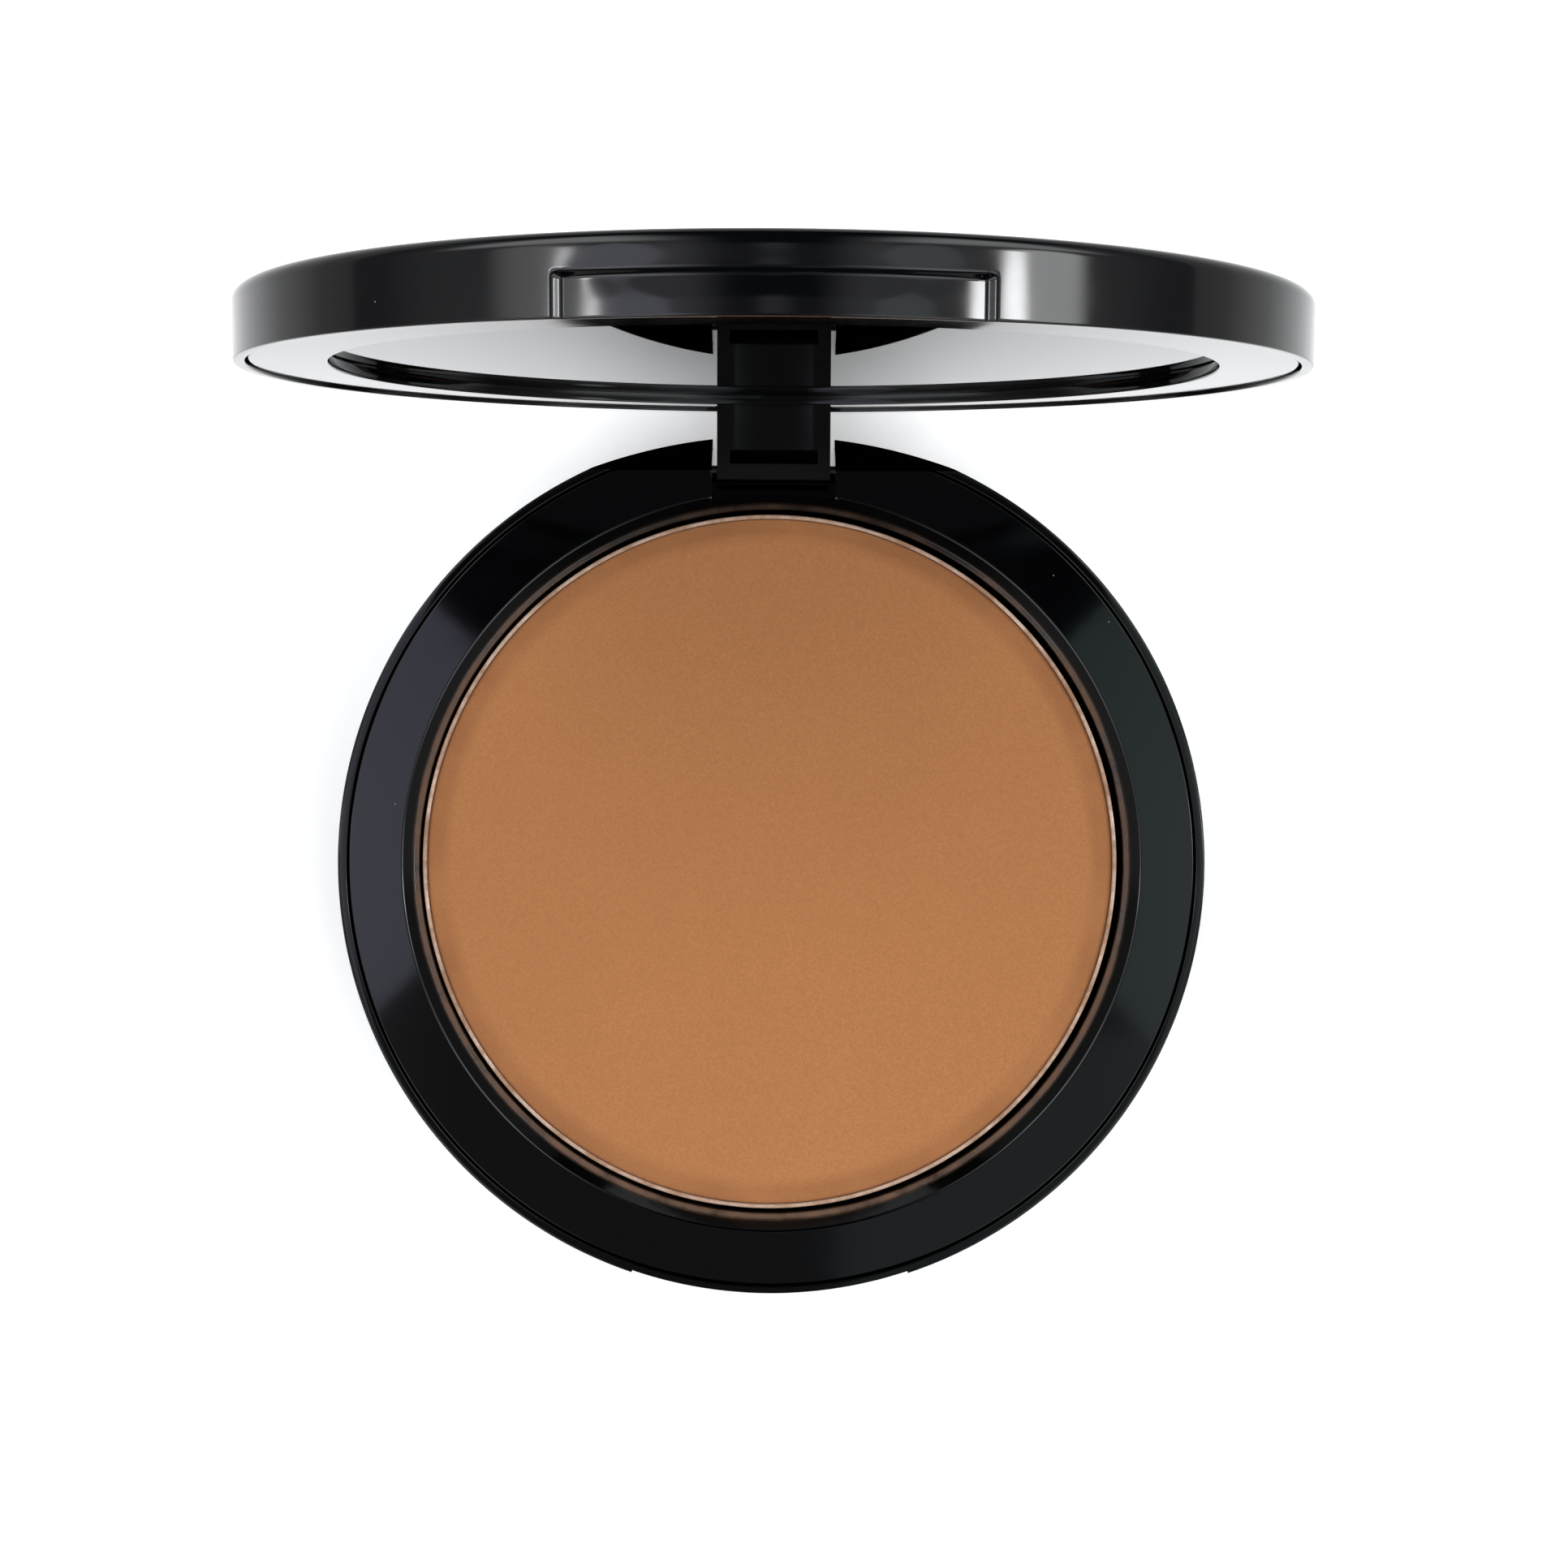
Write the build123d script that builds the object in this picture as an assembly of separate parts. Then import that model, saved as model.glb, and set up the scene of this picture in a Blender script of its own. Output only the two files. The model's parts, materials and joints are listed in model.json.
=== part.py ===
from build123d import *
import math
import os

# A round powder compact, open. The frame's origin is the centre of the base's underside,
# +Z up, -Y towards the user, +Y towards the hinge. All sizes are in millimetres.
# The lid's pieces are drawn closed, flat over the base, and then opened about the hinge pin.

# Outline
outer_radius = 37.0
wall = 0.8
inner_radius = outer_radius - wall
rim_edge_radius = 0.25

# Base
base_height = 8.0
base_floor = 1.2
foot_edge_radius = 1.4
tray_gap = 0.15
tray_drop = 0.15
tray_plate = 1.2

# Well, pan and powder
well_mouth_radius = 31.5
well_step_radius = 30.65
well_radius = 30.25
well_wall_radius = 31.25
well_step_z = 6.9
well_floor = 1.0
pan_radius = 29.8
pan_sheet = 0.35
pan_rim_z = 6.75
pan_glue = 0.15
pan_play = -0.15
powder_drop = 0.12
powder_edge_radius = 0.25

# Hinge
pin_y = 34.1
pin_z = 2.85
pin_radius = 0.5
pin_length = 16.8
pin_clearance = 0.03
knuckle_radius = 1.15
slot_half_width = 5.28
slot_floor_end_y = 33.4
boss_half_width = 9.0
boss_top_z = 4.2
cheek_half_width = 17.5
relief_start_y = 33.4
relief_slope = 1.07

# Hinge arm, measured from the pin with the lid closed
arm_half_width = 4.93
arm_front = 1.5
arm_rear = 1.6
rail_width = 1.08
panel_dip = 0.4
panel_low = 1.76
pocket_low = 0.61
pocket_depth = 1.9

# Lid
lid_gap = 0.15
lid_height = 4.6
lid_crown = 0.3
lid_plate = 1.2
lid_edge_radius = 0.8
lid_open_angle = 83.5

# Mirror and its frame
frame_drop = 0.22
mirror_opening_radius = 30.8
mirror_drop = 0.8
mirror_radius = 31.25
mirror_clearance = 0.1
mirror_thickness = 1.5
tape_radius = 28.5

# Finger recess at the front of both rims; the lid's has a rounder floor, so it is deepest at its ends
recess_height = 2.6
base_recess_half_angle = 18.6
base_recess_depth = 0.3
lid_recess_half_angle = 19.0
lid_recess_depth = 0.15
lid_recess_floor_radius = 32.0

# Magnets
magnet_radius = 1.8
magnet_thickness = 1.4
magnet_pocket_gap = 0.02
magnet_boss_wall = 0.5
magnet_y = -33.45

lid_z = base_height + lid_gap
frame_z = lid_z + frame_drop
mirror_z = frame_z + mirror_drop
lid_inside_z = lid_z + lid_height - lid_plate
tray_z = base_height - tray_drop
tray_radius = inner_radius - tray_gap
hinge_axis = Axis((0, pin_y, pin_z), (1, 0, 0))
reach = 2 * outer_radius


def disc(radius, low, high):
    """Upright cylinder on the Z axis between two heights."""
    return Pos(0, 0, low) * Cylinder(radius, high - low, align=(Align.CENTER, Align.CENTER, Align.MIN))


def block(x_low, x_high, y_low, y_high, z_low, z_high):
    """Box between three pairs of coordinates."""
    corner = (Align.MIN, Align.MIN, Align.MIN)
    return Pos(x_low, y_low, z_low) * Box(x_high - x_low, y_high - y_low, z_high - z_low, align=corner)


def turned(points):
    """Solid turned about Z from a closed outline of (radius, height) points."""
    outline = Plane.XZ * Polyline(*points, close=True)
    return revolve(make_face(outline), Axis.Z)


def rings(solid, radius, height):
    """Circular edges of a solid that have this radius and lie at this height."""
    circles = solid.edges().filter_by(GeomType.CIRCLE)
    return circles.filter_by(lambda edge: abs(edge.radius - radius) < 0.01 and
                             abs(edge.arc_center.Z - height) < 0.01)


def front_sector(half_angle, low, high):
    """Wedge towards -Y that is as wide as a finger recess."""
    side = reach * math.tan(math.radians(half_angle))
    outline = Polyline((0, 0), (side, -reach), (-side, -reach), close=True)
    return Pos(0, 0, low) * extrude(make_face(outline), high - low)


def rear_relief(drop):
    """Space above the slope behind the hinge, which lets the lid's rim swing past the base."""
    low_z = base_height - drop - relief_slope * (reach - relief_start_y)
    outline = Polyline((relief_start_y, base_height - drop), (reach, low_z), (reach, reach),
                       (relief_start_y, reach), close=True)
    return extrude(make_face(Plane.YZ * outline), reach, both=True)


def both_sides(solid):
    """A solid and its mirror image across the YZ plane."""
    return solid + mirror(solid, Plane.YZ)


def opened(solid):
    """Swing a piece of the lid from closed to open."""
    return solid.rotate(hinge_axis, -lid_open_angle)


def base_shell():
    shell = disc(outer_radius, 0, base_height)
    shell = fillet(rings(shell, outer_radius, 0), foot_edge_radius)
    shell -= disc(inner_radius, base_floor, base_height + 1)
    shell = fillet(rings(shell, outer_radius, base_height), rim_edge_radius)
    shell = fillet(rings(shell, inner_radius, base_height), rim_edge_radius / 2)
    boss = block(slot_half_width, boss_half_width, pin_y - 2, outer_radius, base_floor / 2, boss_top_z)
    shell += both_sides(boss & disc(inner_radius + wall / 2, 0, base_height))
    slot = block(-slot_half_width, slot_half_width, slot_floor_end_y, reach, -1, base_height + 1)
    shell -= slot
    shell -= rear_relief(0)
    pin_room = Rot(0, 90, 0) * Cylinder(pin_radius + pin_clearance / 2, pin_length + 0.1)
    shell -= Pos(0, pin_y, pin_z) * pin_room
    ring = disc(reach, 0, reach) - disc(outer_radius - base_recess_depth, -1, reach + 1)
    shell -= ring & front_sector(base_recess_half_angle, base_height - recess_height, base_height + 1)
    return shell


def base_tray():
    well_floor_z = base_floor + well_floor
    plate_z = tray_z - tray_plate
    skirt_radius = tray_radius - wall
    tray = turned([
        (0, base_floor), (well_wall_radius, base_floor), (well_wall_radius, plate_z),
        (skirt_radius, plate_z), (skirt_radius, base_floor), (tray_radius, base_floor),
        (tray_radius, tray_z), (well_mouth_radius, tray_z), (well_step_radius, well_step_z),
        (well_radius, well_step_z - 0.1), (well_radius, well_floor_z), (0, well_floor_z),
    ])
    tray = fillet(rings(tray, well_mouth_radius, tray_z), 0.3)
    tray = fillet(rings(tray, tray_radius, tray_z), 0.12)
    hinge_room = block(-cheek_half_width, cheek_half_width, 0, reach, 0, boss_top_z + 0.05)
    tray -= hinge_room - disc(well_wall_radius, 0, base_height)
    cheek = block(slot_half_width, cheek_half_width, 0, reach, boss_top_z + 0.05, tray_z - 0.5)
    hinge_ring = disc(tray_radius, 0, base_height) - disc(well_wall_radius, 0, base_height)
    tray += both_sides(cheek & hinge_ring)
    arm_slot = block(-slot_half_width, slot_half_width, 0, reach, 0, reach)
    tray -= arm_slot - disc(well_mouth_radius - 0.1, 0, reach)
    tray -= rear_relief(tray_drop)
    magnet_low = plate_z - magnet_thickness
    boss_radius = magnet_radius + magnet_boss_wall
    tray += Pos(0, magnet_y) * disc(boss_radius, magnet_low, plate_z + 0.1)
    tray -= Pos(0, magnet_y) * disc(magnet_radius + magnet_pocket_gap, magnet_low - 0.1, plate_z)
    return tray


def powder_pan():
    low = base_floor + well_floor + pan_glue
    inside = pan_radius - pan_sheet
    pan = turned([
        (0, low), (pan_radius, low), (pan_radius, pan_rim_z), (inside, pan_rim_z),
        (inside, low + pan_sheet), (0, low + pan_sheet),
    ])
    pan = fillet(rings(pan, pan_radius, pan_rim_z), 0.12)
    pan = fillet(rings(pan, inside, pan_rim_z), 0.12)
    pan = fillet(rings(pan, pan_radius, low), 0.6)
    return Pos(pan_play, 0, 0) * pan


def pressed_powder():
    low = base_floor + well_floor + pan_glue + pan_sheet
    high = pan_rim_z - powder_drop
    cake = disc(pan_radius - pan_sheet - 0.02, low, high)
    cake = fillet(rings(cake, pan_radius - pan_sheet - 0.02, high), powder_edge_radius)
    return Pos(pan_play, 0, 0) * cake


def pan_adhesive():
    low = base_floor + well_floor
    return Pos(pan_play, 0, 0) * disc(20.0, low, low + pan_glue)


def hinge_pin():
    pin = Rot(0, 90, 0) * Cylinder(pin_radius, pin_length)
    pin = chamfer(pin.edges(), 0.12)
    return Pos(0, pin_y, pin_z) * pin


def base_magnet():
    high = tray_z - tray_plate
    return Pos(0, magnet_y) * disc(magnet_radius, high - magnet_thickness, high)


def lid_shell():
    top = lid_z + lid_height
    outline = Polyline((0, lid_inside_z), (inner_radius, lid_inside_z), (inner_radius, lid_z),
                       (outer_radius, lid_z), (outer_radius, top))
    outline += ThreePointArc((outer_radius, top), (outer_radius / 2, top + 0.75 * lid_crown),
                             (0, top + lid_crown))
    outline += Line((0, top + lid_crown), (0, lid_inside_z))
    shell = revolve(make_face(Plane.XZ * outline), Axis.Z)
    shell = fillet(rings(shell, outer_radius, top), lid_edge_radius)
    shell = fillet(rings(shell, outer_radius, lid_z), rim_edge_radius)
    shell = fillet(rings(shell, inner_radius, lid_z), rim_edge_radius / 2)
    scoop_top = lid_z + recess_height
    floor_centre = lid_recess_floor_radius + lid_recess_depth - outer_radius
    floor = Pos(0, floor_centre) * disc(lid_recess_floor_radius, 0, reach)
    return shell - (front_sector(lid_recess_half_angle, lid_z - 1, scoop_top) - floor)


def mirror_frame():
    rabbet = mirror_radius + mirror_clearance
    frame = turned([
        (mirror_opening_radius, frame_z), (tray_radius, frame_z), (tray_radius, lid_inside_z),
        (rabbet, lid_inside_z), (rabbet, mirror_z), (mirror_opening_radius, mirror_z),
    ])
    frame = fillet(rings(frame, tray_radius, frame_z), 0.15)
    frame = fillet(rings(frame, mirror_opening_radius, frame_z), 0.12)
    arm_room = arm_half_width + 0.1
    frame -= block(-arm_room, arm_room, pin_y - arm_front - 0.1, reach, 0, reach)
    pocket = disc(magnet_radius + magnet_pocket_gap, lid_inside_z - magnet_thickness - 0.1, reach)
    return frame - Pos(0, magnet_y) * pocket


def mirror_glass():
    glass = disc(mirror_radius, mirror_z, mirror_z + mirror_thickness)
    return fillet(rings(glass, mirror_radius, mirror_z), 0.1)


def mirror_tape():
    return disc(tape_radius, mirror_z + mirror_thickness, lid_inside_z)


def hinge_arm():
    rear = pin_y + arm_rear
    front = pin_y - arm_front
    outline = Polyline((front, pin_z - 0.3), (pin_y - 0.75, pin_z - 0.87), (pin_y + 0.87, pin_z - 0.75),
                       (rear, pin_z + 0.6), (rear, lid_inside_z), (front, lid_inside_z), close=True)
    arm = extrude(make_face(Plane.YZ * outline), arm_half_width, both=True)
    knuckle = Rot(0, 90, 0) * Cylinder(knuckle_radius, 2 * arm_half_width)
    arm += Pos(0, pin_y, pin_z) * knuckle
    pin_hole = Rot(0, 90, 0) * Cylinder(pin_radius + pin_clearance, 3 * arm_half_width)
    arm -= Pos(0, pin_y, pin_z) * pin_hole
    between_rails = arm_half_width - rail_width
    panel_radius = (between_rails ** 2 + panel_dip ** 2) / (2 * panel_dip)
    hollow = disc(panel_radius, pin_z + panel_low, frame_z + 0.3)
    arm -= Pos(0, front + panel_dip - panel_radius, 0) * hollow
    arm -= block(-between_rails, between_rails, front - 1, front + pocket_depth,
                 pin_z + pocket_low, pin_z + panel_low)
    return arm


def lid_magnet():
    return Pos(0, magnet_y) * disc(magnet_radius, lid_inside_z - magnet_thickness, lid_inside_z)


base_pieces = {
    "base_shell": base_shell(),
    "base_tray": base_tray(),
    "powder_pan": powder_pan(),
    "pressed_powder": pressed_powder(),
    "pan_adhesive": pan_adhesive(),
    "hinge_pin": hinge_pin(),
    "base_magnet": base_magnet(),
}
lid_pieces = {
    "lid_shell": lid_shell(),
    "mirror_frame": mirror_frame(),
    "mirror": mirror_glass(),
    "mirror_tape": mirror_tape(),
    "hinge_arm": hinge_arm(),
    "lid_magnet": lid_magnet(),
}

os.makedirs("parts", exist_ok=True)
for name, piece in base_pieces.items():
    export_step(piece, f"parts/{name}.step")
for name, piece in lid_pieces.items():
    export_step(opened(piece), f"parts/{name}.step")
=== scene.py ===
import json
import math

import bmesh
import bpy
from mathutils import Matrix, Vector


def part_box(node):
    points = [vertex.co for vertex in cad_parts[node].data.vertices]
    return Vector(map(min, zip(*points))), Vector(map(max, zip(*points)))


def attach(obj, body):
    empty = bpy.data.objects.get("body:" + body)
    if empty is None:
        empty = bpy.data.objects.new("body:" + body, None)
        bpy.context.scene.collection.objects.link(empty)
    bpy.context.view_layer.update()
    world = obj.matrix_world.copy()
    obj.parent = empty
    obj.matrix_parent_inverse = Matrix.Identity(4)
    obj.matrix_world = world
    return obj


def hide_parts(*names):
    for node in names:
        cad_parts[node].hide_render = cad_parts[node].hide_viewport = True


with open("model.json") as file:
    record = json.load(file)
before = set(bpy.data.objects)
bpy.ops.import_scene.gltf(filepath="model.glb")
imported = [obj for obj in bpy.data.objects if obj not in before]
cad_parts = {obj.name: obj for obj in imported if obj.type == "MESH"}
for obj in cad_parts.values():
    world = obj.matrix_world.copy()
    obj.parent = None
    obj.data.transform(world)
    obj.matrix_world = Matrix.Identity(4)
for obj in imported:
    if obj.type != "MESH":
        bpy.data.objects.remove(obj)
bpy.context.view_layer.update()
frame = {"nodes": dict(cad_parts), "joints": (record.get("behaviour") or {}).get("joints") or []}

# A round powder compact, open on a pale table. The frame's origin is the centre of the base's
# underside, +Z up, -Y towards the user. Shapes are drawn in millimetres and stored in metres.
MM = 0.001

# Steps in a rounded corner and round a whole turn, the angle that points at the user, and the
# smallest angle between two faces that makes a sharp edge
ROUND_STEPS = 7
TURNS = 384
FRONT = 1.5 * math.pi
SHARP_ANGLE = math.radians(32)

# Sizes that the frame's boxes don't give, in millimetres.
# Shell and tray of the base
wall = 0.8
rim_edge = 0.25
foot_edge = 1.4
base_floor = 1.2
tray_plate = 1.2
well_mouth_radius = 31.5
well_step_radius = 30.65
well_radius = 30.25
well_wall_radius = 31.25
well_step_z = 6.9
well_step_fall = 0.12
well_floor_z = 2.2

# Hinge side of the base
relief_start_y = 33.4
relief_slope = 1.07
slot_half_width = 5.28
slot_floor_end_y = 34.3
slot_overlap = 0.1
boss_half_width = 9.0
boss_front = 2
boss_top_z = 4.2
boss_room = 0.05
cheek_half_width = 17.5
cheek_top_drop = 0.5
cheek_inset = 0.01
cheek_overlap = 0.04
pin_hole_radius = 0.515
pin_hole_end = 0.5

# Pan and powder
pan_sheet = 0.35
pan_rim_edge = 0.14
powder_edge_drop = 0.20
powder_edge_width = 1.3
powder_rings = 24

# Hinge arm. The knuckle's arc runs between two angles in degrees.
arm_front = 1.5
arm_rear = 1.6
arm_foot_drop = 1.0
arm_rear_rise = 0.6
arm_pin_room = 0.015
knuckle_radius = 1.15
knuckle_start = 268
knuckle_end = 319
knuckle_steps = 14
rail_width = 1.08
panel_dip = 0.22
panel_low = 1.76
pocket_low = 0.61
pocket_high = 1.78
pocket_depth = 1.9
pocket_top_depth = 0.6

# Lid, with its mirror and the ring round it
lid_plate = 1.2
lid_edge = 0.8
lid_crown = 0.3
lid_shoulder = 0.012
lid_rim_edge = 0.10
lid_row = 0.08
lid_rows = 45
frame_drop = 0.22
frame_room = 0.1
mirror_opening_radius = 30.8
magnet_room = 0.02

# Finger recesses. Angles are in radians, on each side of the front.
recess_height = 2.6
base_recess_half_angle = math.radians(18.6)
base_recess_depth = 0.24
lid_recess_half_angle = math.radians(19.0)
lid_recess_depth = 0.15
lid_recess_floor_radius = 32.0
lid_recess_slope = 0.10
lid_recess_slope_start = 0.9
lid_recess_slope_ends = (1.5, 5.5)
lid_recess_end_width = 0.6
lid_recess_ledge_width = 0.45
lid_recess_lip_height = 1.2
lid_recess_lip_depth = 0.03
lid_recess_lip_end = 3
lid_side_margin = 0.02
recess_margin = math.radians(3)
recess_gap = 0.005
recess_steps = 420

# The hinge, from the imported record
hinge = frame["joints"][0]
pin_y = hinge["pos_m"][1] / MM
pin_z = hinge["pos_m"][2] / MM
open_angle = math.radians(hinge["range_deg"][1])
pin_place = Matrix.Translation(Vector(hinge["pos_m"]))
opening = pin_place @ Matrix.Rotation(-open_angle, 4, "X") @ pin_place.inverted()


def closed_box(node):
    """Lowest and highest corners of one of the lid's CAD nodes with the lid shut, in millimetres."""
    closing = opening.inverted()
    points = [closing @ vertex.co for vertex in frame["nodes"][node].data.vertices]
    low = Vector([min(point[axis] for point in points) for axis in range(3)])
    high = Vector([max(point[axis] for point in points) for axis in range(3)])
    return low / MM, high / MM


def rest_box(node):
    """Lowest and highest corners of a CAD node at rest, in millimetres."""
    low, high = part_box(node)
    return low / MM, high / MM


base_high = rest_box("base_shell")[1]
tray_high = rest_box("base_tray")[1]
pan_low, pan_high = rest_box("powder_pan")
powder_low, powder_high = rest_box("pressed_powder")
lid_low, lid_high = closed_box("lid_shell")
mirror_low, mirror_high = closed_box("mirror")
arm_high = closed_box("hinge_arm")[1]
magnet_low, magnet_high = closed_box("lid_magnet")
outer_radius = base_high.x
inner_radius = outer_radius - wall
base_height = base_high.z
tray_radius = tray_high.x
tray_z = tray_high.z
pan_centre_x = (pan_low.x + pan_high.x) / 2
pan_radius = (pan_high.x - pan_low.x) / 2
powder_radius = (powder_high.x - powder_low.x) / 2
lid_z = lid_low.z
lid_side_top = lid_high.z - lid_crown
lid_inside_z = lid_side_top - lid_plate
frame_z = lid_z + frame_drop
mirror_z = mirror_low.z
mirror_radius = mirror_high.x
arm_half_width = arm_high.x

# How far cutting shapes go: well past the whole part, or a little past one face
reach = 2 * outer_radius
past = 1


# Shapes


def rounded(corners):
    """Points of an outline whose corners are (x, y, radius), each rounded by an arc."""
    points = []
    for index, (x, y, radius) in enumerate(corners):
        corner = Vector((x, y))
        if radius == 0:
            points.append(corner)
            continue
        before = (Vector(corners[index - 1][:2]) - corner).normalized()
        after = (Vector(corners[(index + 1) % len(corners)][:2]) - corner).normalized()
        half = before.angle(after) / 2
        centre = corner + (before + after).normalized() * radius / math.sin(half)
        start = corner + before * radius / math.tan(half) - centre
        end = corner + after * radius / math.tan(half) - centre
        sweep = math.pi - 2 * half
        for step in range(ROUND_STEPS + 1):
            share = step / ROUND_STEPS
            spoke = start * math.sin((1 - share) * sweep) + end * math.sin(share * sweep)
            points.append(centre + spoke / math.sin(sweep))
    return points


def new_object(name, bm):
    """Object made from a bmesh drawn in millimetres."""
    bmesh.ops.recalc_face_normals(bm, faces=bm.faces)
    bmesh.ops.scale(bm, vec=(MM, MM, MM), verts=bm.verts)
    mesh = bpy.data.meshes.new(name)
    bm.to_mesh(mesh)
    bm.free()
    obj = bpy.data.objects.new(name, mesh)
    bpy.context.scene.collection.objects.link(obj)
    return obj


def even_angles():
    """Angles of a full turn in even steps."""
    return [2 * math.pi * turn / TURNS for turn in range(TURNS)]


def lathe(name, outline, centre_x=0.0, angles=None, dent=None):
    """Solid turned about the Z axis from a closed outline of (radius, height) points.

    A dent gives how far each point sinks towards the axis, from its angle, radius and height.
    """
    angles = angles or even_angles()
    bm = bmesh.new()
    rows = []
    for radius, height in outline:
        if radius < 1e-6:
            rows.append([bm.verts.new((centre_x, 0, height))])
            continue
        row = []
        for angle in angles:
            spoke = radius - dent(angle, radius, height) if dent else radius
            place = (centre_x + spoke * math.cos(angle), spoke * math.sin(angle), height)
            row.append(bm.verts.new(place))
        rows.append(row)
    for index, row in enumerate(rows):
        other = rows[(index + 1) % len(rows)]
        for turn in range(len(angles)):
            following = (turn + 1) % len(angles)
            if len(row) == 1 and len(other) == 1:
                break
            if len(row) == 1:
                bm.faces.new((row[0], other[turn], other[following]))
            elif len(other) == 1:
                bm.faces.new((row[turn], row[following], other[0]))
            else:
                bm.faces.new((row[turn], row[following], other[following], other[turn]))
    return new_object(name, bm)


def prism(outline, depth_low, depth_high, axis):
    """Solid between two depths along an axis, X or Z, from a closed outline in the other two."""
    bm = bmesh.new()
    ends = []
    for depth in (depth_low, depth_high):
        if axis == "X":
            places = [(depth, point[0], point[1]) for point in outline]
        else:
            places = [(point[0], point[1], depth) for point in outline]
        ends.append([bm.verts.new(place) for place in places])
    bm.faces.new(ends[0])
    bm.faces.new(ends[1])
    for index in range(len(outline)):
        following = (index + 1) % len(outline)
        bm.faces.new((ends[0][index], ends[0][following], ends[1][following], ends[1][index]))
    return new_object("tool", bm)


def block(x_low, x_high, y_low, y_high, z_low, z_high):
    """Box between three pairs of coordinates."""
    corners = [(x_low, y_low), (x_high, y_low), (x_high, y_high), (x_low, y_high)]
    return prism(corners, z_low, z_high, "Z")


def circle(radius, centre, steps):
    """Points of a circle in a plane."""
    angles = [2 * math.pi * step / steps for step in range(steps)]
    across, up = centre
    return [(across + radius * math.cos(angle), up + radius * math.sin(angle)) for angle in angles]


def drum(radius, z_low, z_high):
    """Upright cylinder on the Z axis."""
    return prism(circle(radius, (0, 0), TURNS), z_low, z_high, "Z")


def bar(radius, x_half, centre):
    """Cylinder along X, with its centre line at a (y, z) point."""
    return prism(circle(radius, centre, 64), -x_half, x_half, "X")


def apply_modifiers(obj):
    """Turn an object's modifiers into its mesh."""
    bpy.context.view_layer.update()
    depsgraph = bpy.context.evaluated_depsgraph_get()
    mesh = bpy.data.meshes.new_from_object(obj.evaluated_get(depsgraph))
    obj.modifiers.clear()
    obj.data = mesh


def combine(obj, tool, operation):
    """Cut a tool from an object, add it, or keep what they share. The tool is used up."""
    modifier = obj.modifiers.new("combine", "BOOLEAN")
    modifier.operation = operation
    modifier.solver = "EXACT"
    modifier.object = tool
    apply_modifiers(obj)
    bpy.data.objects.remove(tool)


def cut(obj, *tools):
    """Take tools away from an object."""
    for tool in tools:
        combine(obj, tool, "DIFFERENCE")


def add(obj, tool):
    """Join a tool to an object."""
    combine(obj, tool, "UNION")


def keep(obj, tool):
    """Leave only what an object and a tool share."""
    combine(obj, tool, "INTERSECT")


def soften(obj, width, segments):
    """Round the edges that the cuts left sharp."""
    bevel = obj.modifiers.new("edges", "BEVEL")
    bevel.width = width * MM
    bevel.segments = segments
    bevel.limit_method = "ANGLE"
    bevel.angle_limit = SHARP_ANGLE
    bevel.use_clamp_overlap = True
    apply_modifiers(obj)


def finish_piece(obj, name, material, body, slot, *nodes):
    """Name, smooth, colour and place a piece that stands for CAD nodes."""
    obj.name = name
    obj.data.name = name
    obj.data.shade_smooth()
    obj.data.set_sharp_from_angle(angle=SHARP_ANGLE)
    normals = obj.modifiers.new("normals", "WEIGHTED_NORMAL")
    normals.keep_sharp = True
    normals.weight = 90
    apply_modifiers(obj)
    obj.data.materials.clear()
    obj.data.materials.append(material)
    if body == "lid":
        obj.data.transform(opening)
    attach(obj, body)
    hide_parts(*nodes)
    return obj


def front_sector(half_angle, z_low, z_high):
    """Wedge towards -Y, between two heights."""
    side = reach * math.tan(half_angle)
    return prism([(0, 0), (side, -reach), (-side, -reach)], z_low, z_high, "Z")


def rear_relief(drop):
    """Space above the slope behind the hinge."""
    top = base_height - drop
    low = top - relief_slope * (reach - relief_start_y)
    outline = [(relief_start_y, top), (reach, low), (reach, reach), (relief_start_y, reach)]
    return prism(outline, -reach, reach, "X")


# Materials


class Nodes:
    """A node tree, with short ways to add and join nodes."""

    def __init__(self, tree, coordinates):
        self.tree = tree
        self.place = self.node("ShaderNodeTexCoord").outputs[coordinates]

    def put(self, value, socket):
        """Join another node's output to a socket, or set a plain value on it."""
        if isinstance(value, bpy.types.NodeSocket):
            self.tree.links.new(value, socket)
        else:
            socket.default_value = value

    def node(self, kind, inputs=None, **settings):
        node = self.tree.nodes.new(kind)
        for key, value in settings.items():
            setattr(node, key, value)
        for key, value in (inputs or {}).items():
            self.put(value, node.inputs[key])
        return node

    def axes(self):
        """X, Y and Z of the place or direction that is shaded."""
        parts = self.node("ShaderNodeSeparateXYZ", {0: self.place}).outputs
        return parts["X"], parts["Y"], parts["Z"]

    def spread(self, value, low, high, to_low=0.0, to_high=1.0, kind="LINEAR"):
        """Value brought from one range to another, and held inside the second."""
        inputs = {"Value": value, "From Min": low, "From Max": high, "To Min": to_low,
                  "To Max": to_high}
        return self.node("ShaderNodeMapRange", inputs, interpolation_type=kind).outputs["Result"]

    def math(self, operation, *values):
        return self.node("ShaderNodeMath", dict(enumerate(values)), operation=operation).outputs[0]

    def product(self, *values):
        total = values[0]
        for value in values[1:]:
            total = self.math("MULTIPLY", total, value)
        return total


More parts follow.
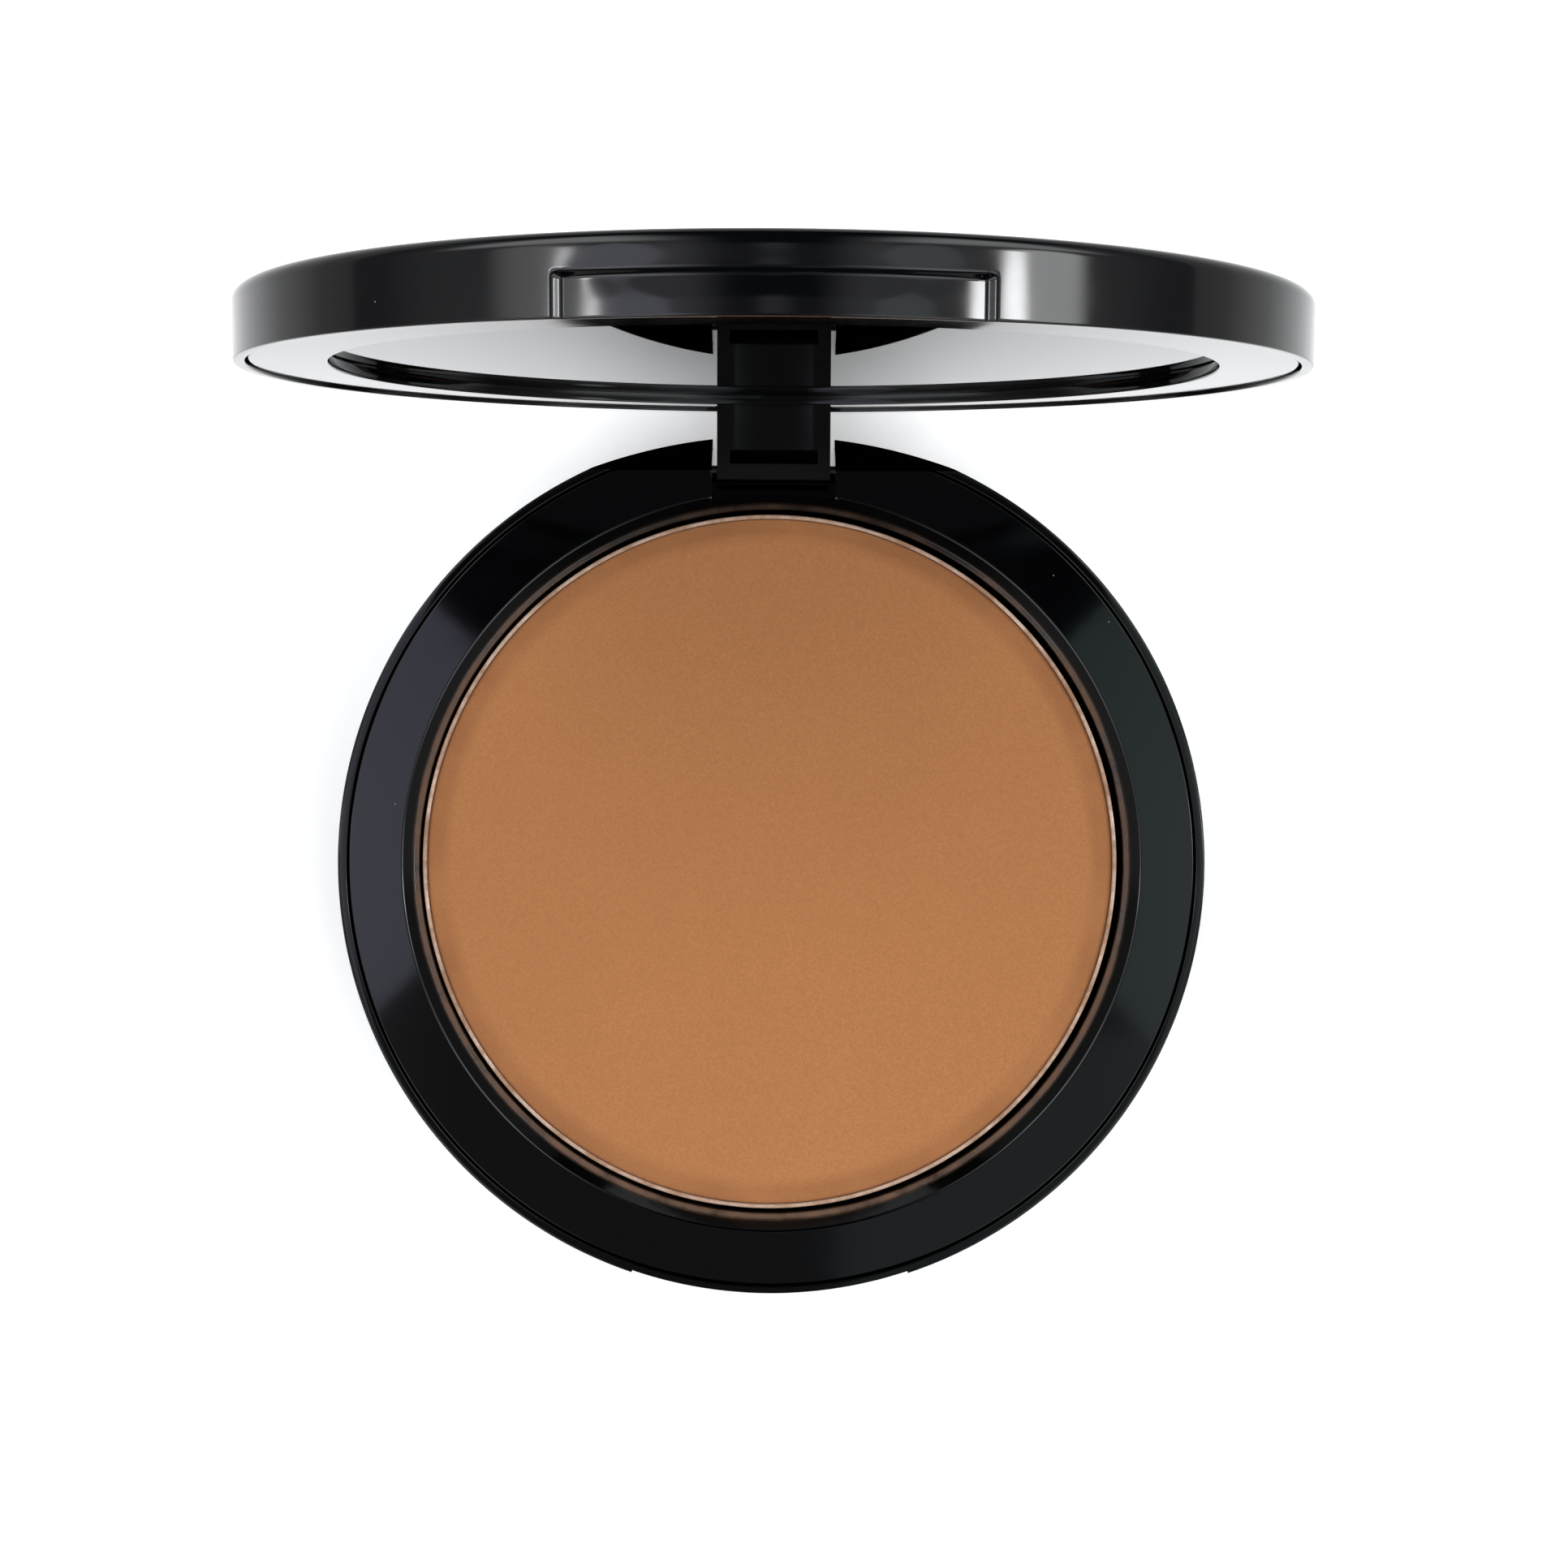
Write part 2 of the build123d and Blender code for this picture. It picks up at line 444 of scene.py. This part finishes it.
class Shader(Nodes):
    """The node tree of a new material, measured from the part's own origin."""

    def __init__(self, name):
        self.material = bpy.data.materials.new(name)
        self.material.use_nodes = True
        super().__init__(self.material.node_tree, "Object")
        self.surface = self.tree.nodes["Principled BSDF"]

    def set(self, **values):
        """Set the surface's sockets, named with _ for each space."""
        for key, value in values.items():
            self.put(value, self.surface.inputs[key.replace("_", " ")])

    def noise(self, size_mm, detail=2.0, roughness=0.5):
        inputs = {"Vector": self.place, "Scale": 1 / (size_mm * MM), "Detail": detail,
                  "Roughness": roughness}
        return self.node("ShaderNodeTexNoise", inputs).outputs["Fac"]

    def fade(self, length, low_mm, high_mm, to_low=0.0, to_high=1.0):
        """Spread of a length, with its first range in millimetres."""
        return self.spread(length, low_mm * MM, high_mm * MM, to_low, to_high)

    def from_axis(self, centre_x=0.0):
        """Distance from an upright line at a place along X, given in millimetres."""
        x, y = self.axes()[:2]
        across = self.math("SUBTRACT", x, centre_x * MM)
        flat = self.node("ShaderNodeCombineXYZ", {"X": across, "Y": y}).outputs[0]
        return self.node("ShaderNodeVectorMath", {0: flat}, operation="LENGTH").outputs["Value"]

    def mix(self, share, first, second):
        """Colour between two others."""
        return self.node("ShaderNodeMix", {0: share, 6: first, 7: second}, data_type="RGBA").outputs[2]

    def specks(self, spacing_mm, size, rarity):
        """Small round specks, one in some cells of a grid of that spacing."""
        cells = self.node("ShaderNodeTexVoronoi", {"Vector": self.place, "Scale": 1 / (spacing_mm * MM)})
        near = self.spread(cells.outputs["Distance"], size, size * 0.6)
        chosen = self.node("ShaderNodeSeparateColor", {"Color": cells.outputs["Color"]}).outputs["Red"]
        return self.math("MULTIPLY", near, self.math("GREATER_THAN", chosen, rarity))

    def bump(self, height, strength, distance_mm):
        inputs = {"Height": height, "Strength": strength, "Distance": distance_mm * MM}
        return self.node("ShaderNodeBump", inputs).outputs["Normal"]


# Colours, as linear red, green, blue and opacity
dust_tone = (0.32, 0.31, 0.29, 1)
loose_powder_and_reflection_tone = (0.120, 0.062, 0.034, 1)
powder_tone = (0.385, 0.160, 0.0560, 1)
powder_light_tone = (0.405, 0.169, 0.0600, 1)
powder_grain_tone = (0.270, 0.106, 0.037, 1)
powder_edge_shade_tone = (0.205, 0.077, 0.026, 1)
powder_fleck_tone = (0.50, 0.27, 0.13, 1)
worn_pan_tone = (0.62, 0.46, 0.36, 1)
dusted_pan_tone = (0.30, 0.165, 0.095, 1)
silver_tone = (0.71, 0.72, 0.73, 1)
# Painted shade: the mirror's darker tint at a slant, for the shaded table it reflects
silver_slant_shade_tone = (0.50, 0.51, 0.51, 1)

# Where the ledge's loose powder and painted reflection of the cake thin out towards the hinge, in
# millimetres along Y
powder_and_reflection_rear = (16, 28)

# How far from its edge the cake's painted shade starts, and is darkest, in millimetres
powder_edge_shade_insets = (2.2, 1.1)


def ledge_powder_and_reflection(shader):
    """How much brown lies on the ledge round the pan: loose powder, and a painted reflection of the cake
    in the well's wall; patchy, and thin at the rear.
    """
    y, z = shader.axes()[1:]
    distance = shader.from_axis()
    inner = shader.fade(distance, well_radius - 0.25, well_radius - 0.05)
    outer = shader.fade(distance, well_step_radius + 0.20, well_step_radius - 0.10)
    high = shader.fade(z, well_step_z - 0.9, well_step_z - 0.3)
    patchy = shader.spread(shader.noise(4.0, detail=5.0, roughness=0.65), 0.34, 0.62, 0.20, 0.95)
    thin = shader.fade(y, *powder_and_reflection_rear, 1.0, 0.25)
    return shader.product(inner, outer, high, shader.product(patchy, thin))


def black_plastic(name, colour, roughness, dust_rarity=0.93, powder_and_reflection_on=None, ior=1.40):
    """Moulded black plastic: gloss with faint ripple, smears and a few specks of dust."""
    shader = Shader(name)
    dust = shader.specks(spacing_mm=1.6, size=0.035, rarity=dust_rarity)
    smear = shader.spread(shader.noise(9.0, detail=4.0, roughness=0.6), 0.45, 0.75)
    rough = shader.math("ADD", shader.math("MULTIPLY", smear, 0.05), roughness)
    rough = shader.math("ADD", rough, shader.math("MULTIPLY", dust, 0.5))
    tint = shader.mix(dust, (*colour, 1), dust_tone)
    # Brown on the ledge: loose powder, and a painted reflection of the cake
    if powder_and_reflection_on:
        powder = powder_and_reflection_on(shader)
        tint = shader.mix(powder, tint, loose_powder_and_reflection_tone)
        rough = shader.math("MAXIMUM", rough, shader.math("MULTIPLY", powder, 0.8))
    ripple = shader.bump(shader.noise(2.2, detail=1.0), strength=0.05, distance_mm=0.02)
    shader.set(Base_Color=tint, Roughness=rough, IOR=ior, Normal=ripple)
    return shader.material


def powder_material():
    """Pressed powder: matte, with fine grain, here and there the weave of the press cloth, and painted
    shade near its edge.
    """
    shader = Shader("pressed_powder")
    grain = shader.noise(0.16, detail=4.0, roughness=0.75)
    cloud = shader.spread(shader.noise(16.0), 0.3, 0.7)
    tone = shader.mix(cloud, powder_tone, powder_light_tone)
    tone = shader.mix(shader.spread(grain, 0.35, 0.70, 0.0, 0.8), tone, powder_grain_tone)
    # Painted shade: the cake gets darker, in patches, along its edge beside the pan's rim
    edge_start, edge_end = (powder_radius - inset for inset in powder_edge_shade_insets)
    edge_shade = shader.fade(shader.from_axis(pan_centre_x), edge_start, edge_end, 0.0, 0.50)
    edge_shade_patches = shader.spread(shader.noise(7.0, detail=3.0), 0.3, 0.6, 0.35, 1.0)
    tone = shader.mix(shader.math("MULTIPLY", edge_shade, edge_shade_patches), tone, powder_edge_shade_tone)
    fleck = shader.specks(spacing_mm=0.9, size=0.09, rarity=0.80)
    tone = shader.mix(shader.math("MULTIPLY", fleck, 0.30), tone, powder_fleck_tone)
    wave = {"Vector": shader.place, "Scale": 1 / (3.0 * MM), "Distortion": 0.6, "Detail": 1.0}
    weave = shader.node("ShaderNodeTexWave", wave, bands_direction="DIAGONAL").outputs["Fac"]
    weave_patches = shader.spread(shader.noise(18.0, detail=1.0), 0.45, 0.62)
    relief = shader.math("ADD", grain, shader.product(weave, weave_patches, 0.22))
    shader.set(Base_Color=tone, Roughness=0.92, IOR=1.35, Specular_IOR_Level=0.35,
               Sheen_Weight=0.10, Sheen_Roughness=0.6,
               Normal=shader.bump(relief, strength=0.45, distance_mm=0.06))
    return shader.material


def pan_material():
    """Thin pressed metal, its rim worn bright in places and dusted with powder in others."""
    shader = Shader("pan_metal")
    dusted = shader.spread(shader.noise(2.4, detail=6.0, roughness=0.7), 0.36, 0.60)
    tone = shader.mix(dusted, worn_pan_tone, dusted_pan_tone)
    metal = shader.spread(dusted, 0.0, 1.0, 0.85, 0.05)
    rough = shader.spread(dusted, 0.0, 1.0, 0.38, 0.85)
    grain = shader.bump(shader.noise(0.3), strength=0.25, distance_mm=0.03)
    shader.set(Base_Color=tone, Metallic=metal, Roughness=rough, Normal=grain)
    return shader.material


def mirror_material():
    """Silvered glass with a trace of haze, and a darker edge tint that paints shade into what it reflects
    at a slant.
    """
    shader = Shader("mirror_glass")
    haze = shader.spread(shader.noise(6.0, detail=4.0), 0.5, 0.8, 0.012, 0.03)
    shader.set(Base_Color=silver_tone, Specular_Tint=silver_slant_shade_tone, Metallic=1.0, Roughness=haze)
    return shader.material


def plain_material(name, colour, roughness, metallic, grain_mm, strength):
    """A finish for what is mostly hidden: one tone, mottled, with a fine grain."""
    shader = Shader(name)
    mottle = shader.spread(shader.noise(grain_mm * 6, detail=3.0), 0.3, 0.7)
    darker = tuple(0.8 * channel for channel in colour)
    grain = shader.bump(shader.noise(grain_mm), strength, distance_mm=0.02)
    shader.set(Base_Color=shader.mix(mottle, (*darker, 1), (*colour, 1)), Metallic=metallic,
               Roughness=roughness, Normal=grain)
    return shader.material


shell_plastic = black_plastic("shell_plastic", (0.0008, 0.0009, 0.0012), 0.055, ior=1.32)
tray_plastic = black_plastic("tray_plastic", (0.0003, 0.0004, 0.0007), 0.06, 0.9, ledge_powder_and_reflection)
lid_plastic = black_plastic("lid_plastic", (0.0012, 0.0014, 0.0020), 0.09)
frame_plastic = black_plastic("frame_plastic", (0.0010, 0.0011, 0.0014), 0.05)
arm_plastic = black_plastic("arm_plastic", (0.0014, 0.0015, 0.0018), 0.14)
powder_finish = powder_material()
pan_metal = pan_material()
mirror_glass = mirror_material()
pin_steel = plain_material("pin_steel", (0.16, 0.16, 0.17), 0.35, 1.0, 0.1, 0.1)
magnet_plate = plain_material("magnet_plate", (0.66, 0.66, 0.68), 0.22, 1.0, 0.2, 0.05)
glue = plain_material("glue", (0.72, 0.68, 0.55), 0.6, 0.0, 0.5, 0.3)
foam = plain_material("foam", (0.75, 0.75, 0.73), 0.9, 0.0, 0.15, 0.5)


# The base


def make_base_shell():
    """The outer cup: two bosses for the pin, a slot for the arm and a finger recess in front."""
    shell = lathe("base_shell_looks", rounded([
        (0, 0, 0), (outer_radius, 0, foot_edge), (outer_radius, base_height, rim_edge),
        (inner_radius, base_height, rim_edge / 2), (inner_radius, base_floor, 0.3),
        (0, base_floor, 0),
    ]))
    for side in (-1, 1):
        x_ends = sorted((side * slot_half_width, side * boss_half_width))
        boss = block(*x_ends, pin_y - boss_front, outer_radius, base_floor / 2, boss_top_z)
        keep(boss, drum(inner_radius + wall / 2, 0, base_height))
        add(shell, boss)
    recess = drum(reach, base_height - recess_height, base_height + past)
    cut(recess, drum(outer_radius - base_recess_depth, 0, reach))
    keep(recess, front_sector(base_recess_half_angle, 0, reach))
    slot = block(-slot_half_width, slot_half_width, slot_floor_end_y, reach, -past, base_height + past)
    pin_hole = bar(pin_hole_radius, boss_half_width - pin_hole_end, (pin_y, pin_z))
    cut(shell, slot, rear_relief(0), recess, pin_hole)
    soften(shell, width=0.08, segments=2)
    return finish_piece(shell, "base_shell_body", shell_plastic, "base", "black_gloss", "base_shell")


def make_base_tray():
    """The inner ring and the well for the pan, with room for the hinge and cheeks beside it."""
    plate_z = tray_z - tray_plate
    skirt_radius = tray_radius - wall
    tray = lathe("base_tray_looks", rounded([
        (0, base_floor, 0), (well_wall_radius, base_floor, 0), (well_wall_radius, plate_z, 0.2),
        (skirt_radius, plate_z, 0.2), (skirt_radius, base_floor, 0), (tray_radius, base_floor, 0),
        (tray_radius, tray_z, 0.12), (well_mouth_radius, tray_z, 0.3),
        (well_step_radius, well_step_z, 0.25), (well_radius, well_step_z - well_step_fall, 0.1),
        (well_radius, well_floor_z, 0.3), (0, well_floor_z, 0),
    ]))
    room_top = boss_top_z + boss_room
    hinge_room = block(-cheek_half_width, cheek_half_width, 0, reach, 0, room_top)
    cut(hinge_room, drum(well_wall_radius, -past, base_height))
    cut(tray, hinge_room)
    for side in (-1, 1):
        x_ends = sorted((side * (slot_half_width - past), side * cheek_half_width))
        cheek = block(*x_ends, 0, reach, room_top, tray_z - cheek_top_drop)
        keep(cheek, drum(tray_radius - cheek_inset, 0, base_height))
        cut(cheek, drum(well_wall_radius - cheek_overlap, 0, base_height))
        add(tray, cheek)
    arm_slot = block(-slot_half_width, slot_half_width, 0, reach, -past, reach)
    cut(arm_slot, drum(well_mouth_radius - slot_overlap, -2 * past, reach + past))
    cut(tray, arm_slot, rear_relief(base_height - tray_z))
    soften(tray, width=0.1, segments=2)
    return finish_piece(tray, "base_tray_body", tray_plastic, "base", "black_tray", "base_tray")


def make_pan():
    """The thin pan that holds the powder."""
    inside = pan_radius - pan_sheet
    floor = pan_low.z + pan_sheet
    pan = lathe("pan_looks", rounded([
        (0, pan_low.z, 0), (pan_radius, pan_low.z, 0.6), (pan_radius, pan_high.z, pan_rim_edge),
        (inside, pan_high.z, pan_rim_edge), (inside, floor, 0.4), (0, floor, 0),
    ]), pan_centre_x)
    return finish_piece(pan, "powder_pan_metal", pan_metal, "base", "pan_metal", "powder_pan")


def make_powder():
    """The cake: a flat top that falls off towards the pan."""
    outline = rounded([
        (0, powder_low.z, 0), (powder_radius, powder_low.z, 0),
        (powder_radius, powder_high.z - powder_edge_drop, 0.1),
        (powder_radius - powder_edge_width, powder_high.z, 2.0),
    ])
    flat_radius = powder_radius - 2 * powder_edge_width
    for ring in range(powder_rings, -1, -1):
        outline.append(Vector((flat_radius * (ring / powder_rings), powder_high.z)))
    cake = lathe("powder_looks", outline, pan_centre_x)
    return finish_piece(cake, "powder_cake", powder_finish, "base", "powder", "pressed_powder")


# The lid, drawn shut and then opened


def smooth_step(value, low, high):
    """From 0 at one value to 1 at another, with a soft start and end."""
    share = min(1.0, max(0.0, (value - low) / (high - low)))
    return share * share * (3 - 2 * share)


def recess_angles():
    """Angles round the lid, close together where the finger recess is."""
    fine_reach = lid_recess_half_angle + recess_margin
    fine = [FRONT + fine_reach * (2 * step / recess_steps - 1) for step in range(recess_steps + 1)]
    rest = [angle for angle in even_angles() if abs(angle - FRONT) > fine_reach + recess_gap]
    return sorted(rest + fine)


def lid_dent(angle, radius, height):
    """How far the finger recess sinks the lid's side wall at a point."""
    from_front = abs(angle - FRONT)
    from_end = (lid_recess_half_angle - from_front) * outer_radius
    if radius < outer_radius - rim_edge - lid_side_margin or from_end < 0:
        return 0.0
    side = outer_radius * math.sin(from_front)
    wall_drop = outer_radius - math.sqrt(outer_radius ** 2 - side ** 2)
    floor_drop = lid_recess_floor_radius - math.sqrt(lid_recess_floor_radius ** 2 - side ** 2)
    up = height - lid_z
    slope = lid_recess_slope * smooth_step(up, lid_recess_slope_start, recess_height)
    slope *= smooth_step(from_end, *lid_recess_slope_ends)
    floor_depth = lid_recess_depth + slope + floor_drop - wall_drop
    below_ledge = 1 - smooth_step(up, recess_height - lid_recess_ledge_width, recess_height)
    inside = smooth_step(from_end, 0, lid_recess_end_width)
    lip = lid_recess_lip_depth * smooth_step(from_end, 0, lid_recess_lip_end)
    lip *= 1 - smooth_step(up, recess_height, recess_height + lid_recess_lip_height)
    return floor_depth * inside * below_ledge + lip * (1 - below_ledge)


def make_lid_shell():
    """The lid's cup, with a slightly crowned top and a scooped finger recess."""
    row_start = lid_z + lid_rim_edge
    wall_rows = [(outer_radius, row_start + lid_row * row, 0) for row in range(1, lid_rows + 1)]
    outline = rounded([
        (inner_radius, lid_inside_z, 0.3), (inner_radius, lid_z, rim_edge / 2),
        (outer_radius, lid_z, lid_rim_edge), *wall_rows,
        (outer_radius, lid_side_top + lid_shoulder, lid_edge),
        (0, lid_high.z, 0), (0, lid_inside_z, 0),
    ])
    shell = lathe("lid_shell_looks", outline, angles=recess_angles(), dent=lid_dent)
    return finish_piece(shell, "lid_shell_body", lid_plastic, "lid", "black_gloss", "lid_shell")


def make_mirror_frame():
    """The ring that covers the mirror's edge, with room for the hinge arm and the magnet."""
    rabbet = mirror_radius + frame_room
    ring = lathe("mirror_frame_looks", rounded([
        (mirror_opening_radius, frame_z, 0.12), (tray_radius, frame_z, 0.15),
        (tray_radius, lid_inside_z, 0), (rabbet, lid_inside_z, 0), (rabbet, mirror_z, 0),
        (mirror_opening_radius, mirror_z, 0),
    ]))
    arm_room = arm_half_width + frame_room
    cut(ring, block(-arm_room, arm_room, pin_y - arm_front - frame_room, reach, 0, reach))
    magnet_y = (magnet_low.y + magnet_high.y) / 2
    pocket_radius = (magnet_high.x - magnet_low.x) / 2 + magnet_room
    pocket = circle(pocket_radius, (0, magnet_y), 64)
    cut(ring, prism(pocket, magnet_low.z - frame_room, reach, "Z"))
    soften(ring, width=0.06, segments=2)
    return finish_piece(ring, "mirror_frame_ring", frame_plastic, "lid", "black_frame", "mirror_frame")


def make_mirror():
    """The round glass plate."""
    glass = lathe("mirror_looks", rounded([
        (0, mirror_low.z, 0), (mirror_radius, mirror_low.z, 0.1), (mirror_radius, mirror_high.z, 0.1),
        (0, mirror_high.z, 0),
    ]))
    return finish_piece(glass, "mirror_plate", mirror_glass, "lid", "mirror_glass", "mirror")


def make_hinge_arm():
    """The arm between lid and pin: a dished panel between two rails, and a pocket below it."""
    front = pin_y - arm_front
    rear = pin_y + arm_rear
    knuckle = []
    for step in range(knuckle_steps + 1):
        angle = math.radians(knuckle_start + (knuckle_end - knuckle_start) * step / knuckle_steps)
        knuckle.append((pin_y + knuckle_radius * math.cos(angle),
                        pin_z + knuckle_radius * math.sin(angle), 0))
    outline = rounded([
        (front, pin_z - arm_foot_drop, 0.35), *knuckle, (rear, pin_z + arm_rear_rise, 0.3),
        (rear, lid_inside_z, 0), (front, lid_inside_z, 0),
    ])
    arm = prism(outline, -arm_half_width, arm_half_width, "X")
    between = arm_half_width - rail_width
    dip_radius = (between ** 2 + panel_dip ** 2) / (2 * panel_dip)
    dip = circle(dip_radius, (0, front + panel_dip - dip_radius), 256)
    panel = prism(dip, pin_z + panel_low, frame_z + 0.3, "Z")
    low, high = pin_z + pocket_low, pin_z + pocket_high
    pocket_side = [(front - past, low), (front + pocket_depth, low),
                   (front + pocket_top_depth, high), (front - past, high)]
    pocket = prism(pocket_side, -between, between, "X")
    cut(arm, bar(pin_hole_radius + arm_pin_room, 2 * arm_half_width, (pin_y, pin_z)), panel, pocket)
    soften(arm, width=0.12, segments=3)
    return finish_piece(arm, "hinge_arm_body", arm_plastic, "lid", "black_arm", "hinge_arm")


make_base_shell()
make_base_tray()
make_pan()
make_powder()
make_lid_shell()
make_mirror_frame()
make_mirror()
make_hinge_arm()

# CAD nodes that keep their own shape
for node, material in (("hinge_pin", pin_steel), ("base_magnet", magnet_plate),
                       ("lid_magnet", magnet_plate), ("pan_adhesive", glue), ("mirror_tape", foam)):
    mesh = frame["nodes"][node].data
    mesh.materials.clear()
    mesh.materials.append(material)


# Table, light and camera, in millimetres and degrees.
# The table's colour is a painted pool of light: bright under the part, with painted shade that gets
# darker from one radius to the next.
# It also gives off a faint painted light of its own, most of it round a point under the rear half of the
# base, which lifts the shade there.
table_radius = 3000
table_bright_radius = 85
table_dim_radius = 150
table_dark_radius = 340
table_bright = (0.90, 0.90, 0.90, 1)
table_dim = (0.50, 0.50, 0.50, 1)
table_dark = (0.34, 0.34, 0.34, 1)
glow_strength = 0.42
glow_centre_y = 20
glow_inner_radius = 20
glow_outer_radius = 75
glow_full = (1, 1, 1, 1)
glow_low = (0.3, 0.3, 0.3, 1)
glow_none = (0, 0, 0, 1)

# Strength of the light from the rear corners, the front corners, the sides and the rest
back_light = 3.3
front_light = 2.3
room_light = 0.75
rest_light = 0.19
sky_tint = (0.98, 0.99, 1.0, 1)

# Round lamps: direction, angle up to which they are full, angle at which they end, strength
overhead_lamp = ((0.0, 0.010, 1.0), 1.5, 4.5, 0.55)
right_shade = ((0.800, 0.045, 0.598), 6.5, 11.0, 7.0)
right_bulb = ((0.732, 0.030, 0.680), 1.6, 3.4, 30.0)
left_shade = ((-0.72, 0.045, 0.69), 2.0, 12.0, 1.9)
left_bulb = ((-0.657, 0.012, 0.752), 1.3, 2.6, 26.0)

# Panels over the table: centre, width, depth, turn, brightness, colour
panel_height = 190
panels = {
    "left_panel": ((-78, 7.2), 70, 70, 45, 1.7, (0.76, 0.76, 1.0)),
    "right_panel": ((73.5, 4.5), 70, 70, 45, 0.75, (0.77, 1.0, 1.0)),
    "front_panel": ((52, -75), 80, 76, 0, 0.36, (0.77, 1.0, 1.0)),
}

# The camera's height is above the rim of the base
camera_y = 6.66
camera_height = 172.7
camera_tilt = -0.337
camera_turn = 0.27
film_width = 36.0
lens_per_height = 0.2693


def make_table():
    """A pale matt floor under the part, with a painted pool of light round it and a faint painted glow
    under the rear of the base.
    """
    bm = bmesh.new()
    bmesh.ops.create_circle(bm, cap_ends=True, segments=128, radius=table_radius)
    table = new_object("table", bm)
    shader = Shader("table_top")
    distance = shader.node("ShaderNodeVectorMath", {0: shader.place}, operation="LENGTH").outputs["Value"]
    # Painted shade: the table's colour gets darker farther from the part
    far = shader.fade(distance, table_bright_radius, table_dim_radius)
    farther = shader.fade(distance, table_dim_radius, table_dark_radius)
    tone = shader.mix(farther, shader.mix(far, table_bright, table_dim), table_dark)
    # Painted light: a glow that lifts the shade round the rear of the base
    glow_points = {0: shader.place, 1: (0, glow_centre_y * MM, 0)}
    away = shader.node("ShaderNodeVectorMath", glow_points, operation="DISTANCE").outputs["Value"]
    glow = shader.mix(shader.fade(away, glow_inner_radius, glow_outer_radius), glow_full, glow_low)
    glow = shader.mix(farther, glow, glow_none)
    shader.set(Base_Color=tone, Roughness=0.9, Specular_IOR_Level=0.1, Emission_Color=glow,
               Emission_Strength=glow_strength)
    table.data.materials.append(shader.material)


class Sky(Nodes):
    """The node tree of the world, which gives light by direction."""

    def __init__(self):
        world = bpy.data.worlds.new("studio")
        bpy.context.scene.world = world
        world.use_nodes = True
        super().__init__(world.node_tree, "Generated")

    def ramp(self, value, low, high, to_low=0.0, to_high=1.0):
        return self.spread(value, low, high, to_low, to_high, "SMOOTHSTEP")

    def lamp(self, direction, inner, outer, strength):
        """Round soft light: full within one angle of a direction, gone at another, in degrees."""
        unit = tuple(Vector(direction).normalized())
        dot = self.node("ShaderNodeVectorMath", {0: self.place, 1: unit}, operation="DOT_PRODUCT")
        low, high = math.cos(math.radians(outer)), math.cos(math.radians(inner))
        return self.ramp(dot.outputs["Value"], low, high, 0.0, strength)


def make_world():
    """Light from the room's four upper corners and its sides, round lamps and a dim rest."""
    sky = Sky()
    x, y, z = sky.axes()
    across = sky.math("ABSOLUTE", x)
    along = sky.math("ABSOLUTE", y)
    raised = sky.ramp(z, 0.28, 0.48)
    sideways = sky.ramp(across, 0.25, 0.50)
    back_corners = sky.product(sky.ramp(y, 0.20, 0.42), sideways, raised, back_light)
    front_corners = sky.product(sky.ramp(y, -0.20, -0.42), sideways, raised, front_light)
    low_fade = sky.ramp(z, 0.05, 0.45, 0.35, 1.0)
    across_fade = sky.ramp(across, 0.60, 0.85, 1.0, 0.7)
    along_fade = sky.ramp(along, 0.66, 0.88, 1.0, 0.12)
    side_fade = sky.product(across_fade, along_fade)
    sides = sky.product(sky.ramp(across, 0.14, 0.34), low_fade, side_fade, room_light)
    front_fade = sky.ramp(y, -0.45, -0.85, 1.0, 0.1)
    rest = sky.product(sky.ramp(y, 0.09, -0.04, 0.02, rest_light), front_fade)
    total = back_corners
    for part in (front_corners, sides, rest):
        total = sky.math("ADD", total, part)
    for lamp in (overhead_lamp, right_shade, right_bulb, left_shade, left_bulb):
        total = sky.math("ADD", total, sky.lamp(*lamp))
    background = sky.tree.nodes["Background"]
    sky.put(total, background.inputs["Strength"])
    sky.put(sky_tint, background.inputs["Color"])


def make_panel(name, centre, width, depth, turn, radiance, colour):
    """Light panel that faces down, a little higher than the camera and beside it."""
    light = bpy.data.lights.new(name, "AREA")
    light.shape = "RECTANGLE"
    light.size = width * MM
    light.size_y = depth * MM
    light.energy = radiance * math.pi * width * depth * MM ** 2
    light.color = colour
    panel = bpy.data.objects.new(name, light)
    panel.location = Vector((*centre, panel_height)) * MM
    panel.rotation_euler = (0, 0, math.radians(turn))
    bpy.context.scene.collection.objects.link(panel)


def make_camera():
    """Almost straight above, a little behind the middle of the base."""
    camera_data = bpy.data.cameras.new("camera")
    camera_data.sensor_width = film_width
    camera_data.lens = lens_per_height * camera_height
    camera_data.clip_start = 0.01
    camera = bpy.data.objects.new("camera", camera_data)
    camera.location = Vector((0, camera_y, base_height + camera_height)) * MM
    camera.rotation_euler = (0, math.radians(camera_tilt), math.radians(camera_turn))
    bpy.context.scene.collection.objects.link(camera)
    bpy.context.scene.camera = camera


make_table()
make_world()
for name, settings in panels.items():
    make_panel(name, *settings)
make_camera()
bpy.context.scene.view_settings.view_transform = "Standard"
